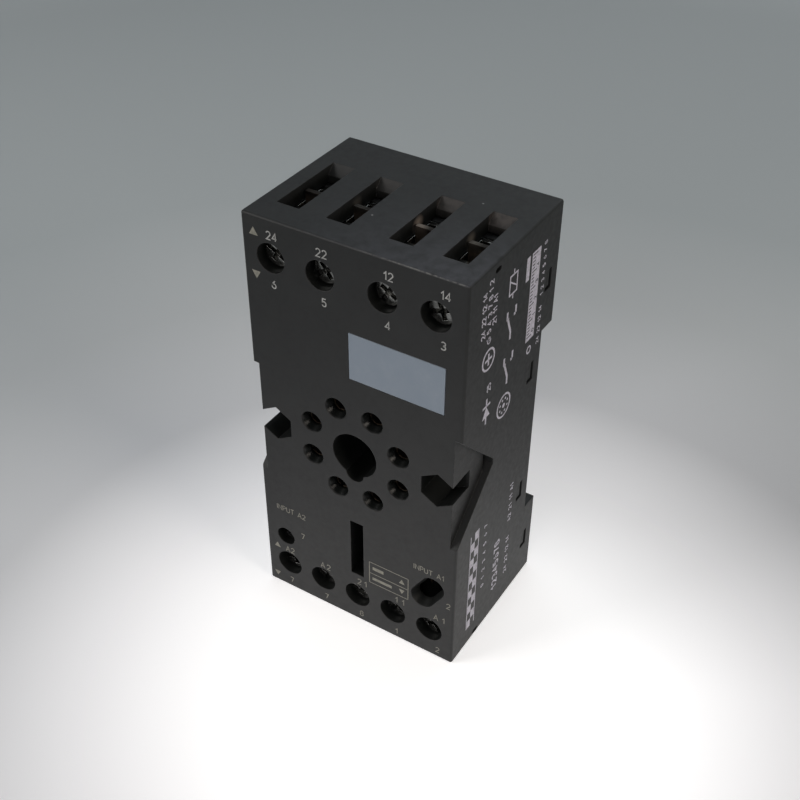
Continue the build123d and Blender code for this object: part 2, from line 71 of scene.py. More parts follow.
MM = 0.001
HALF_WIDTH = cad_high.x
FRONT_Y = cad_low.y
TOP_Z = cad_high.z
FRONT_MM = FRONT_Y / MM
TOP_MM = TOP_Z / MM

# Camera at the photograph's viewing angle
CAMERA_PLACE = Vector((0.08059, -0.13105, 0.16139))
CAMERA_TARGET = Vector((-0.00069, 0.00062, 0.03913))
CAMERA_ROLL = math.radians(0.46)
CAMERA_LENS = 53.83
CAMERA_SENSOR = 36.0
CAMERA_NEAREST = 0.005

# Colours as linear values
BLACK_PLASTIC = (0.0105, 0.0110, 0.0112)
BLACK_DUST = (0.021, 0.0215, 0.0215)
BLACK_WORN = (0.070, 0.070, 0.070)
# Painted shade for the insides of the holes and wire entries
HOLE_SHADE = (0.0035, 0.0042, 0.0038)
# Painted sheen on the top face
TOP_SHEEN = (0.042, 0.043, 0.050)
# Painted warm light on the rear slopes of the wire entries
PAINTED_SLOPE_LIGHT = (0.044, 0.038, 0.035)
FLASH_GREY = (0.110, 0.110, 0.106)
LINT = (0.22, 0.22, 0.22)
PANEL_GREY = (0.210, 0.248, 0.298)
PANEL_WORN = (0.265, 0.300, 0.345)
INK_WHITE = (0.37, 0.37, 0.36)
INK_CREAM = (0.25, 0.24, 0.20)
INK_LILAC = (0.62, 0.60, 0.69)
INK_DARK = (0.035, 0.035, 0.050)
SCREW_ZINC = (0.38, 0.38, 0.365)
SCREW_DULL = (0.15, 0.15, 0.145)
CAGE_ZINC = (0.56, 0.56, 0.54)
CAGE_DULL = (0.38, 0.38, 0.365)
BRASS = (0.22, 0.17, 0.13)
BRASS_DULL = (0.12, 0.10, 0.08)
# Painted shade on the ends of the straps
STRAP_END_SHADE = (0.028, 0.024, 0.021)
BRONZE = (0.12, 0.090, 0.065)
BRONZE_DULL = (0.045, 0.036, 0.030)
SPRING = (0.52, 0.52, 0.53)
SPRING_DULL = (0.25, 0.25, 0.26)
WORLD_TINT = (0.80, 0.84, 0.88)
FAR_GREY = (0.250, 0.275, 0.285)

# Noises, each as its waves for each millimetre and its detail
MOTTLE = (0.22, 5.0)
SMUDGE = (1.1, 4.0)
SPECKS = (4.2, 1.0)
PLASTIC_GRAIN = (9.0, 2.0)
RUBBING = (1.6, 3.0)
# Clouds of the painted sheen on the top face, and of the painted light on the entry slopes
SHEEN_CLOUDS = (0.5, 5.0)
SLOPE_CLOUDS = (1.3, 4.0)
FLASH_BREAKS = (1.4, 5.0)
TARNISH = (1.9, 5.0)
BRUSHING = (9.0, 3.0)
INK_PATCHES = (2.4, 4.0)
INK_GRAIN = (8.0, 2.0)
FLOOR_GRAIN = (1.5, 3.0)

# Heights of the bumps, and radii of the rounded and rubbed edges
PLASTIC_BUMP = 0.0000008
METAL_BUMP = 0.0000012
INK_BUMP = 0.000004
FLOOR_BUMP = 0.000004
PLASTIC_EDGE = 0.00016
METAL_EDGE = 0.00008
CAGE_EDGE = 0.0002

# Gloss of the plastics
PLASTIC_IOR = 1.5
PLASTIC_SPECULAR = 0.35
CONE_ROUGHNESS = 0.27
FLOOR_ROUGHNESS = 0.9

# Places of the housing's marks and of its painted light and shade, in millimetres. A pair of depths is where a
# mark begins and where it is full.
HOLE_FRONT = (0.03, 0.3)
HOLE_TOP = (0.2, 1.6)
HOLE_SIDE = (17.35, 17.2)
RING_CENTRE = (0.0, 0.0, 38.0)
CONES_INSIDE = (5.8, 6.2)
CONES_OUTSIDE = (11.6, 11.2)
# Painted sheen on the top face
SHEEN_DEPTH = (0.3, 0.1)
SHEEN_BACK = (4.0, FRONT_MM)
SHEEN_ACROSS = (-12.0, 17.0, 0.0, 1.1)
# Painted light on the rear slopes of the wire entries
SLOPE_BACK = 4.8
SLOPE_REACH = (0.95, 0.75)
SLOPE_DEPTH = (3.2, 1.2)
SLOPE_LIP = (0.02, 0.12)
SLOPE_SIDE = (16.6, 16.4)
SLOPE_ACROSS = (-14.0, 14.0, 0.0, 1.2)
EDGE_BAND = (0.34, 0.24)
FLASH_BAND = (0.22, 0.14)
FLASH_ACROSS = (-1.0, 9.0)
LINT_PLACES = ((9.64, 6.50, TOP_MM), (-2.15, -4.99, TOP_MM))
LINT_RADII = (0.10, 0.20)

# Painted warm light inside three upper wire entries: the left wall of each, and the colour of a painted
# reflection on that wall and of a painted highlight on the tongue end beside it
WARM_LIGHT_WALLS = ((-7.3, (0.055, 0.050, 0.044)), (3.3, (0.230, 0.190, 0.160)),
              (12.0, (0.120, 0.108, 0.092)))
WALL_REFLECTIONS = [((wall, -1.3, 74.3), colour) for wall, colour in WARM_LIGHT_WALLS]
WALL_REFLECTION_RADII = (0.3, 1.65)
TONGUE_HIGHLIGHTS = [((wall + 0.9, -2.3, 75.0), colour) for wall, colour in WARM_LIGHT_WALLS]
TONGUE_HIGHLIGHT_RADII = (0.3, 1.7)
# Painted shade on both ends of the straps, by distance in millimetres from their middle height
STRAP_SHADED_ENDS = (35.4, 36.6)

# Floor: colours of a painted pool of light, and glow, by the distance in millimetres from the middle of the
# pool
POOL_CENTRE = (20.0, -20.0, 0.0)
PAINTED_POOL_TONES = ((30, (0.92, 0.91, 0.92)), (56, (0.74, 0.73, 0.75)), (88, (0.61, 0.62, 0.64)),
               (125, (0.48, 0.50, 0.51)), (175, (0.395, 0.425, 0.435)), (320, (0.37, 0.40, 0.41)))
FLOOR_GLOW = ((34, (0.50, 0.50, 0.50)), (84, (0.0, 0.0, 0.0)), (330, (0.0, 0.0, 0.0)), (900, FAR_GREY))


class Look:
    """A node material in the making: one Principled shader, painted by the place on the part in millimetres."""

    def __init__(self, name):
        self.material = bpy.data.materials.new(name)
        self.material.use_nodes = True
        self.tree = self.material.node_tree
        self.tree.nodes.clear()
        self.output = self.add("ShaderNodeOutputMaterial")
        self.shader = self.add("ShaderNodeBsdfPrincipled")
        self.link(self.shader.outputs["BSDF"], self.output.inputs["Surface"])
        place = self.add("ShaderNodeTexCoord")
        self.place = self.stretched(place.outputs["Object"], (1 / MM, 1 / MM, 1 / MM))

    def add(self, kind, **settings):
        node = self.tree.nodes.new(kind)
        for key, value in settings.items():
            setattr(node, key, value)
        return node

    def link(self, out, into):
        self.tree.links.new(out, into)

    def stretched(self, vector, scale):
        """A place with each of its three numbers scaled."""
        node = self.add("ShaderNodeMapping")
        node.inputs["Scale"].default_value = scale
        self.link(vector, node.inputs["Vector"])
        return node.outputs["Vector"]

    def noise(self, scale, detail, stretch=None):
        """Soft noise, with scale in waves for each millimetre."""
        node = self.add("ShaderNodeTexNoise")
        node.inputs["Scale"].default_value = scale
        node.inputs["Detail"].default_value = detail
        self.link(self.stretched(self.place, stretch) if stretch else self.place, node.inputs["Vector"])
        return node.outputs["Fac"]

    def ramp(self, value, low, high, out_low=0.0, out_high=1.0):
        """value between low and high becomes a value between out_low and out_high."""
        node = self.add("ShaderNodeMapRange")
        node.inputs["From Min"].default_value = low
        node.inputs["From Max"].default_value = high
        node.inputs["To Min"].default_value = out_low
        node.inputs["To Max"].default_value = out_high
        self.link(value, node.inputs["Value"])
        return node.outputs["Result"]

    def below_top(self, up, depths):
        """0 at the first depth below the top face, 1 at the second."""
        return self.ramp(up, TOP_MM - depths[0], TOP_MM - depths[1])

    def behind_front(self, back, depths):
        """0 at the first depth behind the plug-in face, 1 at the second."""
        return self.ramp(back, FRONT_MM + depths[0], FRONT_MM + depths[1])

    def times(self, first, *others):
        """Product of two or more values."""
        for other in others:
            node = self.add("ShaderNodeMath", operation="MULTIPLY")
            self.link(first, node.inputs[0])
            self.link(other, node.inputs[1])
            first = node.outputs["Value"]
        return first

    def mix(self, share, first, second):
        """first where share is 0, second where it is 1; each is a colour or another node's output."""
        node = self.add("ShaderNodeMix", data_type="RGBA")
        self.link(share, node.inputs["Factor"])
        for value, socket in ((first, node.inputs[6]), (second, node.inputs[7])):
            if isinstance(value, tuple):
                socket.default_value = (*value, 1.0)
            else:
                self.link(value, socket)
        return node.outputs[2]

    def blend(self, share, first, second):
        """The value first where share is 0, the number second where it is 1."""
        node = self.add("ShaderNodeMix", data_type="FLOAT")
        self.link(share, node.inputs["Factor"])
        self.link(first, node.inputs[2])
        node.inputs[3].default_value = second
        return node.outputs[0]

    def axes(self):
        """The place as its three numbers: across from the middle, back from the middle, and up."""
        apart = self.add("ShaderNodeSeparateXYZ")
        self.link(self.place, apart.inputs["Vector"])
        return apart.outputs

    def away(self, value, centre=0.0):
        """Distance of a value from a number."""
        moved = self.add("ShaderNodeMath", operation="ADD")
        self.link(value, moved.inputs[0])
        moved.inputs[1].default_value = -centre
        size = self.add("ShaderNodeMath", operation="ABSOLUTE")
        self.link(moved.outputs["Value"], size.inputs[0])
        return size.outputs["Value"]

    def tones(self, value, stops):
        """Colour that runs through the stops, each a value and its colour."""
        furthest = stops[-1][0]
        node = self.add("ShaderNodeValToRGB")
        for step, (at, colour) in enumerate(stops):
            stop = node.color_ramp.elements[step] if step < 2 else node.color_ramp.elements.new(1.0)
            stop.position = at / furthest
            stop.color = (*colour, 1.0)
        self.link(self.ramp(value, 0.0, furthest), node.inputs["Fac"])
        return node.outputs["Color"]

    def distance(self, vector, point):
        node = self.add("ShaderNodeVectorMath", operation="DISTANCE")
        self.link(vector, node.inputs[0])
        node.inputs[1].default_value = point
        return node.outputs["Value"]

    def edges(self, radius):
        """1 along the edges of the piece, 0 on its faces; the rounded normal is kept in self.rounded."""
        bevel = self.add("ShaderNodeBevel", samples=6)
        bevel.inputs["Radius"].default_value = radius
        self.rounded = bevel.outputs["Normal"]
        flat = self.add("ShaderNodeNewGeometry")
        dot = self.add("ShaderNodeVectorMath", operation="DOT_PRODUCT")
        self.link(bevel.outputs["Normal"], dot.inputs[0])
        self.link(flat.outputs["Normal"], dot.inputs[1])
        return self.ramp(dot.outputs["Value"], 0.995, 0.80)

    def patches(self, base, spots, radii):
        """Soft round patches over a colour, each given as its place and its colour."""
        inner, outer = radii
        for spot, colour in spots:
            base = self.mix(self.ramp(self.distance(self.place, spot), outer, inner), base, colour)
        return base

    def bump(self, height, distance, under=None):
        """Bump whose full height is distance, laid over another normal."""
        node = self.add("ShaderNodeBump")
        node.inputs["Distance"].default_value = distance
        self.link(height, node.inputs["Height"])
        if under:
            self.link(under, node.inputs["Normal"])
        return node.outputs["Normal"]


def plastic(name, body, dust, worn, roughness, housing=False):
    """Moulded plastic: spark-eroded grain, soft dusty mottling and edges rubbed paler."""
    look = Look(name)
    edge = look.edges(PLASTIC_EDGE)
    mottle = look.noise(*MOTTLE)
    smudge = look.noise(*SMUDGE)
    grain = look.noise(*PLASTIC_GRAIN)
    dusty = look.ramp(mottle, 0.42, 0.72, 0.0, 0.55)
    base = look.mix(look.times(dusty, look.ramp(smudge, 0.3, 0.7)), body, dust)
    speck = look.ramp(look.noise(*SPECKS), 0.70, 0.76, 0.0, 0.3)
    base = look.mix(speck, base, dust)
    rub = look.times(edge, look.ramp(look.noise(*RUBBING), 0.38, 0.66, 0.0, 0.75))
    rough = look.ramp(smudge, 0.3, 0.7, *roughness)
    if housing:
        base, rub, rough = housing_marks(look, base, rub, rough)
    look.link(look.mix(rub, base, worn), look.shader.inputs["Base Color"])
    look.link(rough, look.shader.inputs["Roughness"])
    look.shader.inputs["IOR"].default_value = PLASTIC_IOR
    look.shader.inputs["Specular IOR Level"].default_value = PLASTIC_SPECULAR
    look.link(look.bump(grain, PLASTIC_BUMP, look.rounded), look.shader.inputs["Normal"])
    return look.material


def housing_marks(look, base, rub, rough):
    """What use and moulding left on the housing, with painted light and shade: painted shade in holes and
    entries, painted reflections on entry walls, a painted sheen on the top, painted light on the entry slopes,
    lint and the flash of one edge.
    """
    across, back, up = look.axes()
    from_middle = look.away(across)
    hole = look.times(look.behind_front(back, HOLE_FRONT), look.below_top(up, HOLE_TOP),
                      look.ramp(from_middle, *HOLE_SIDE))
    # Painted shade inside the holes and wire entries: faces a little behind the plug-in face, below the top
    # face and away from the sides are darkened; painted reflections of the tongues lie on the entry walls
    base = look.patches(look.mix(hole, base, HOLE_SHADE), WALL_REFLECTIONS, WALL_REFLECTION_RADII)
    # Smooth entry cones of the eight pin holes
    from_ring = look.distance(look.stretched(look.place, (1.0, 0.0, 1.0)), RING_CENTRE)
    cones = look.times(look.ramp(from_ring, *CONES_INSIDE), look.ramp(from_ring, *CONES_OUTSIDE))
    rough = look.blend(look.times(hole, cones), rough, CONE_ROUGHNESS)
    # Painted sheen on the top face, brighter towards its front right corner, in soft clouds
    sheen = look.times(look.below_top(up, SHEEN_DEPTH), look.ramp(back, *SHEEN_BACK),
                      look.ramp(across, *SHEEN_ACROSS), look.ramp(look.noise(*SHEEN_CLOUDS), 0.25, 0.6))
    base = look.mix(sheen, base, TOP_SHEEN)
    # Painted warm light on the rear slopes of the wire entries, brighter towards the right
    lit_slope = look.times(look.below_top(up, SLOPE_DEPTH), look.ramp(look.away(back, SLOPE_BACK), *SLOPE_REACH),
                       look.ramp(from_middle, *SLOPE_SIDE), look.below_top(up, SLOPE_LIP),
                       look.ramp(across, *SLOPE_ACROSS),
                       look.ramp(look.noise(*SLOPE_CLOUDS), 0.3, 0.6, 0.3, 0.9))
    base = look.mix(lit_slope, base, PAINTED_SLOPE_LIGHT)
    base = look.patches(base, [(place, LINT) for place in LINT_PLACES], LINT_RADII)
    # Edge between top and front: sharp and dark on the left, a rubbed line of flash on the right
    line = look.times(look.below_top(up, EDGE_BAND), look.behind_front(back, EDGE_BAND))
    thin = look.times(look.below_top(up, FLASH_BAND), look.behind_front(back, FLASH_BAND))
    flash = look.times(thin, look.ramp(across, *FLASH_ACROSS),
                       look.ramp(look.noise(*FLASH_BREAKS), 0.40, 0.56))
    base = look.mix(flash, base, FLASH_GREY)
    rub = look.times(rub, look.ramp(line, 0.0, 1.0, 1.0, 0.0))
    return base, rub, rough


def metal(name, bright, dull, roughness, brushed, edge_radius=METAL_EDGE, strap=False):
    """Plated or rolled metal: fine brushing along one direction, dull patches and bright edges."""
    look = Look(name)
    edge = look.edges(edge_radius)
    lines = look.noise(*BRUSHING, stretch=brushed)
    tarnish = look.ramp(look.noise(*TARNISH), 0.28, 0.66, 0.0, 0.95)
    base = look.mix(tarnish, bright, dull)
    base = look.mix(look.times(edge, look.ramp(lines, 0.3, 0.6)), base, bright)
    if strap:
        # Painted shade on both ends of the straps, and painted highlights on the tongue ends in three upper
        # wire entries
        from_centre = look.away(look.axes()[2], TOP_MM / 2)
        base = look.mix(look.ramp(from_centre, *STRAP_SHADED_ENDS), base, STRAP_END_SHADE)
        base = look.patches(base, TONGUE_HIGHLIGHTS, TONGUE_HIGHLIGHT_RADII)
    look.link(base, look.shader.inputs["Base Color"])
    look.shader.inputs["Metallic"].default_value = 1.0
    look.link(look.ramp(lines, 0.3, 0.7, *roughness), look.shader.inputs["Roughness"])
    look.link(look.bump(lines, METAL_BUMP, look.rounded), look.shader.inputs["Normal"])
    return look.material


def ink(name, colour):
    """Pad-printed ink, a little uneven, with the plastic's grain showing through."""
    look = Look(name)
    grain = look.noise(*INK_GRAIN)
    thin = tuple(0.62 * part for part in colour)
    patchy = look.ramp(look.noise(*INK_PATCHES), 0.35, 0.75)
    look.link(look.mix(patchy, colour, thin), look.shader.inputs["Base Color"])
    look.link(look.ramp(grain, 0.3, 0.7, 0.45, 0.62), look.shader.inputs["Roughness"])
    look.link(look.bump(grain, INK_BUMP), look.shader.inputs["Normal"])
    return look.material


def dress(slot, material):
    """Gives every CAD node of a record slot its material."""
    for part in frame["record"]["subparts"]:
        if part["material_slot"] == slot:
            node = frame["nodes"][part["node"]]
            node.data.materials.clear()
            node.data.materials.append(material)


BLACK = (BLACK_PLASTIC, BLACK_DUST, BLACK_WORN)
SPRING_STEEL = metal("spring_steel", SPRING, SPRING_DULL, (0.22, 0.38), (1.0, 1.0, 0.2))
dress("body_plastic", plastic("body_plastic", *BLACK, (0.48, 0.58), housing=True))
dress("cover_plastic", plastic("cover_plastic", *BLACK, (0.48, 0.62)))
dress("latch_plastic", plastic("latch_plastic", *BLACK, (0.40, 0.55)))
dress("marking_plastic", plastic("marking_plastic", PANEL_GREY, PANEL_WORN, PANEL_WORN, (0.42, 0.56)))
dress("spring_steel", SPRING_STEEL)
dress("screw_steel", metal("screw_steel", SCREW_ZINC, SCREW_DULL, (0.12, 0.22), (1.0, 0.3, 1.0)))
dress("cage_steel", metal("cage_steel", CAGE_ZINC, CAGE_DULL, (0.10, 0.22), (0.2, 1.0, 1.0), CAGE_EDGE))
dress("sleeve_bronze", metal("sleeve_bronze", BRONZE, BRONZE_DULL, (0.26, 0.42), (1.0, 0.2, 1.0)))
dress("strap_brass", metal("strap_brass", BRASS, BRASS_DULL, (0.45, 0.60), (1.0, 1.0, 0.15), strap=True))

INKS = {
    "white": ink("print_white", INK_WHITE),
    "cream": ink("print_cream", INK_CREAM),
    "lilac": ink("print_lilac", INK_LILAC),
    "dark": ink("print_dark", INK_DARK),
}


def piece(name, mesh, material, body="body"):
    """A new piece of the part, riding on a CAD body."""
    thing = bpy.data.objects.new(name, mesh)
    bpy.context.scene.collection.objects.link(thing)
    mesh.materials.clear()
    mesh.materials.append(material)
    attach(thing, body)
    return thing


# Latch spring: its first and last turns lie closed
SPRING_WIRE = 0.00036
SPRING_TURNS = 6.5
CLOSED_PITCH = 0.00038
WIRE_SIDES = 12
STEPS_A_TURN = 32


def coil_mesh(name, low, high):
    """Round wire wound about an upright axis, filling the box between two corners."""
    centre = (low + high) / 2
    radius = (high.x - low.x - SPRING_WIRE) / 2
    start = low.z + SPRING_WIRE / 2
    rise = high.z - low.z - SPRING_WIRE
    open_pitch = (rise - 2 * CLOSED_PITCH) / (SPRING_TURNS - 2)
    steps = round(SPRING_TURNS * STEPS_A_TURN)
    verts = []
    for step in range(steps + 1):
        turns = step / STEPS_A_TURN
        height = start + CLOSED_PITCH * (min(turns, 1) + max(turns - SPRING_TURNS + 1, 0))
        height += open_pitch * min(max(turns - 1, 0), SPRING_TURNS - 2)
        turn = 2 * math.pi * turns
        out = Vector((math.cos(turn), math.sin(turn), 0))
        middle = Vector((centre.x, centre.y, height)) + out * radius
        for side in range(WIRE_SIDES):
            slant = 2 * math.pi * side / WIRE_SIDES
            around = out * math.cos(slant) + Vector((0, 0, math.sin(slant)))
            verts.append(middle + around * SPRING_WIRE / 2)
    faces = []
    for start_vert in range(0, steps * WIRE_SIDES, WIRE_SIDES):
        for side in range(WIRE_SIDES):
            first, second = start_vert + side, start_vert + (side + 1) % WIRE_SIDES
            faces.append((first, second, second + WIRE_SIDES, first + WIRE_SIDES))
    faces.append(tuple(range(WIRE_SIDES)))
    faces.append(tuple(reversed(range(steps * WIRE_SIDES, (steps + 1) * WIRE_SIDES))))
    shape = bpy.data.meshes.new(name)
    shape.from_pydata(verts, [], faces)
    outward = bmesh.new()
    outward.from_mesh(shape)
    bmesh.ops.recalc_face_normals(outward, faces=outward.faces)
    outward.to_mesh(shape)
    outward.free()
    shape.polygons.foreach_set("use_smooth", [len(face) == 4 for face in faces])
    return shape


spring_low, spring_high = (Vector(corner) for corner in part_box("latch_spring"))
coil = piece("latch_coil", coil_mesh("latch_coil", spring_low, spring_high), SPRING_STEEL)
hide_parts("latch_spring")
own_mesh(coil)


# The two printed faces: a print is drawn flat, with its own right and up, and then laid on the part
def front_sheet(across, up):
    """Place of a print on the plug-in face, reading from left to right."""
    origin = Vector((across * MM - HALF_WIDTH, FRONT_Y, up * MM))
    return Matrix(((1, 0, 0, origin.x), (0, 0, -1, origin.y), (0, 1, 0, origin.z), (0, 0, 0, 1)))


def side_sheet(back, up):
    """Place of a print on the right side, reading from the foot upwards."""
    origin = Vector((HALF_WIDTH, FRONT_Y + back * MM, up * MM))
    return Matrix(((0, 0, 1, origin.x), (0, -1, 0, origin.y), (1, 0, 0, origin.z), (0, 0, 0, 1)))


def arc(x, y, across, up, start, end, steps=10):
    """Points of an elliptic arc, with its angles in degrees."""
    turns = [math.radians(start + (end - start) * step / steps) for step in range(steps + 1)]
    return [(x + across * math.cos(turn), y + up * math.sin(turn)) for turn in turns]


# Strokes of each number and capital, in shares of its height: its width, then its paths
GLYPHS = {
    " ": (0.35, []),
    "0": (0.56, [arc(0.28, 0.5, 0.28, 0.5, 0, 360, 20)]),
    "1": (0.30, [[(0.0, 0.70), (0.26, 1.0), (0.26, 0.0)]]),
    "2": (0.56, [arc(0.28, 0.72, 0.27, 0.28, 165, -28) + [(0.0, 0.0), (0.56, 0.0)]]),
    "3": (0.54, [arc(0.26, 0.75, 0.25, 0.25, 155, -90) + arc(0.26, 0.25, 0.28, 0.25, 90, -155)]),
    "4": (0.58, [[(0.42, 0.0), (0.42, 1.0), (0.0, 0.28), (0.58, 0.28)]]),
    "5": (0.54, [[(0.50, 1.0), (0.07, 1.0), (0.04, 0.56)] + arc(0.25, 0.32, 0.28, 0.32, 125, -150)]),
    "6": (0.56, [[(0.42, 1.0)] + arc(0.28, 0.30, 0.28, 0.36, 150, 180, 4),
                 arc(0.28, 0.30, 0.28, 0.30, 0, 360, 20)]),
    "7": (0.54, [[(0.0, 1.0), (0.54, 1.0), (0.18, 0.0)]]),
    "8": (0.56, [arc(0.28, 0.26, 0.28, 0.26, 0, 360, 20), arc(0.28, 0.76, 0.24, 0.24, 0, 360, 20)]),
    "A": (0.66, [[(0.0, 0.0), (0.33, 1.0), (0.66, 0.0)], [(0.12, 0.32), (0.54, 0.32)]]),
    "I": (0.10, [[(0.05, 0.0), (0.05, 1.0)]]),
    "N": (0.60, [[(0.0, 0.0), (0.0, 1.0), (0.60, 0.0), (0.60, 1.0)]]),
    "P": (0.52, [[(0.0, 0.0), (0.0, 1.0)] + arc(0.26, 0.74, 0.26, 0.26, 90, -90) + [(0.0, 0.48)]]),
    "T": (0.60, [[(0.0, 1.0), (0.60, 1.0)], [(0.30, 1.0), (0.30, 0.0)]]),
    "U": (0.58, [[(0.0, 1.0)] + arc(0.29, 0.29, 0.29, 0.29, 180, 360) + [(0.58, 1.0)]]),
}
SHARPEST_MITRE = 0.45
INK_THICKNESS = 0.00002
TICK_LIFT = 0.000006


class Sheet:
    """Flat prints that are gathered into one thin mesh, drawn in millimetres."""

    def __init__(self):
        self.mesh = bmesh.new()

    def words(self, text, height, where, stroke, spacing=0.3):
        """Plain numbers and capitals in strokes of one width, centred on their place."""
        runs = []
        reach = 0.0
        for letter in text:
            wide, strokes = GLYPHS[letter]
            runs += [[((reach + x) * height, (y - 0.5) * height) for x, y in path] for path in strokes]
            reach += wide + spacing
        shift = (reach - spacing) * height / 2
        for path in runs:
            self.stroke([(x - shift, y) for x, y in path], stroke, where)

    def stroke(self, path, width, where):
        """Ribbon of one width along a path, with mitred corners; a path that ends where it began is closed."""
        points = [Vector(point) for point in path]
        closed = (points[0] - points[-1]).length < 1e-6
        if closed:
            points.pop()
        count = len(points)
        left, right = [], []
        for i, point in enumerate(points):
            before = points[i - 1] if closed or i else None
            after = points[(i + 1) % count] if closed or i < count - 1 else None
            ways = [(b - a).normalized() for a, b in ((before, point), (point, after)) if a and b]
            sides = [Vector((-way.y, way.x)) for way in ways]
            aside = sum(sides, Vector((0, 0))).normalized()
            aside *= width / 2 / max(aside.dot(sides[0]), SHARPEST_MITRE)
            left.append(point + aside)
            right.append(point - aside)
        for i in range(count if closed else count - 1):
            j = (i + 1) % count
            self.plate([tuple(corner) for corner in (left[i], right[i], right[j], left[j])], where)

    def plate(self, corners, where, lift=0.0):
        """Thin plate with the given corners, half sunk into the face; lift, in metres, raises its top."""
        rings = [[self.mesh.verts.new(where @ Vector((x * MM, y * MM, high))) for x, y in corners]
                 for high in (-INK_THICKNESS / 2, INK_THICKNESS / 2 + lift)]
        turned = sum(a[0] * b[1] - b[0] * a[1] for a, b in zip(corners, corners[1:] + corners[:1]))
        if turned < 0:
            rings = [ring[::-1] for ring in rings]
        self.mesh.faces.new(rings[1])
        self.mesh.faces.new(rings[0][::-1])
        for i in range(len(corners)):
            j = (i + 1) % len(corners)
            self.mesh.faces.new((rings[0][i], rings[0][j], rings[1][j], rings[1][i]))

    def bar(self, x_low, x_high, y_low, y_high, where, lift=0.0):
        self.plate([(x_low, y_low), (x_high, y_low), (x_high, y_high), (x_low, y_high)], where, lift)

    def line(self, start, end, width, where):
        self.stroke([start, end], width, where)

    def box(self, wide, high, width, where):
        """Outline of a box about its place."""
        x, y = wide / 2, high / 2
        self.stroke([(-x, -y), (x, -y), (x, y), (-x, y), (-x, -y)], width, where)

    def ring(self, radius, width, where, steps=32):
        """Round stroke about its place."""
        self.stroke(arc(0, 0, radius, radius, 0, 360, steps), width, where)

    def dot(self, radius, where, centre=(0.0, 0.0), steps=16):
        self.plate(arc(*centre, radius, radius, 0, 360, steps)[:-1], where)

    def triangle(self, half_wide, low, high, where, middle=(0.0, 0.0)):
        """Filled triangle: its half width, and how far its base and its tip lie from the middle."""
        x, y = middle
        self.plate([(x - half_wide, y - low), (x + half_wide, y - low), (x, y + high)], where)

    def piece(self, name, material):
        shape = bpy.data.meshes.new(name)
        self.mesh.to_mesh(shape)
        self.mesh.free()
        return piece(name, shape, material)


# Plug-in face: numbers of the terminals, and below them the numbers of the plug's pins
TOP_ROW_HEIGHT = 1.3
TOP_NAMES_UP = 73.3
TOP_PINS_UP = 65.1
upper = Sheet()
for number, across in (("24", 5.4), ("22", 14.1), ("12", 25.3), ("14", 34.4)):
    upper.words(number, TOP_ROW_HEIGHT, front_sheet(across, TOP_NAMES_UP), 0.19, 0.26)
for number, across in (("6", 5.3), ("5", 14.3), ("4", 25.2), ("3", 34.3)):
    upper.words(number, TOP_ROW_HEIGHT, front_sheet(across, TOP_PINS_UP), 0.2)
upper.piece("print_top_numbers", INKS["white"])

FOOT_NAMES = (("A2", 4.8, 9.4, 0.25), ("A2", 12.4, 9.5, 0.4), ("21", 20.0, 9.65, 0.6), ("11", 27.6, 9.5, 0.8),
              ("A1", 35.3, 9.7, 0.72))
FOOT_PINS = (("7", 4.8, 1.8), ("7", 12.4, 1.87), ("8", 19.8, 1.8), ("1", 27.0, 1.64), ("2", 35.2, 1.83),
             ("7", 7.83, 14.27), ("2", 36.93, 13.68))
INPUTS = (("INPUT A2", 5.56, 19.05), ("INPUT A1", 33.04, 19.6))
ROW_MARKS = ((2.15, 73.2, 1.36), (2.15, 65.9, -1.36), (2.06, 9.37, 1.1), (1.6, 2.0, -1.1))
lower = Sheet()
for number, across, up, spacing in FOOT_NAMES:
    lower.words(number, 1.2, front_sheet(across, up), 0.16, spacing)
for number, across, up in FOOT_PINS:
    lower.words(number, 1.15, front_sheet(across, up), 0.15)
# Filled up and down marks beside both rows
for across, up, size in ROW_MARKS:
    lower.triangle(0.58 * size, 0.44 * size, 0.56 * size, front_sheet(across, up))
for letters, across, up in INPUTS:
    lower.words(letters, 1.05, front_sheet(across, up), 0.14, 0.24)
lower.piece("print_foot_numbers", INKS["cream"])

# Ruled box with two plain bars and the up and down marks
BOX_WIDE = 7.65
BOX_HIGH = 4.85
BOX_MIDDLE = 2.3
RULE = 0.14
box_place = front_sheet(21.55, 10.85)
ruled = Sheet()
for height in (0, BOX_MIDDLE, BOX_HIGH):
    ruled.line((0, height), (BOX_WIDE, height), RULE, box_place)
for across in (0, BOX_WIDE):
    ruled.line((across, 0), (across, BOX_HIGH), RULE, box_place)
ruled.bar(0.65, 2.8, 3.25, 3.95, box_place)
ruled.bar(0.6, 4.45, 0.85, 1.45, box_place)
for up, tip in ((3.5, 1), (1.3, -1)):
    ruled.triangle(0.56 * tip, 0.40 * tip, 0.58 * tip, box_place, middle=(6.42, up))
ruled.piece("print_ruled_box", INKS["cream"])


# Right side: terminal and pin numbers, plain circuit marks, a pin circle and two scales
def number_rows(sheet, rows, height, stroke, spacing):
    """Rows of numbers on the right side, each as its text, its place back and its middle up."""
    for numbers, back, up in rows:
        sheet.words(numbers, height, side_sheet(back, up), stroke, spacing)


def coil_mark(sheet, where):
    """A coil: a box with a slanting line, and its two leads."""
    sheet.box(3.2, 2.2, 0.28, where)
    sheet.line((-0.7, -1.0), (0.7, 1.0), 0.22, where)
    for start, end in ((-2.5, -1.7), (1.7, 2.5)):
        sheet.line((start, 0), (end, 0), 0.26, where)


def changeover_mark(sheet, where, width=0.5):
    """A contact that changes over between two others."""
    sheet.line((-2.7, 0), (-1.3, 0), width, where)
    sheet.line((-1.3, 0), (1.15, 1.0), width, where)
    for side in (-1, 1):
        sheet.line((1.3, 1.3 * side), (2.7, 1.3 * side), width, where)
        sheet.line((1.3, 1.3 * side), (1.3, 0.75 * side), width, where)


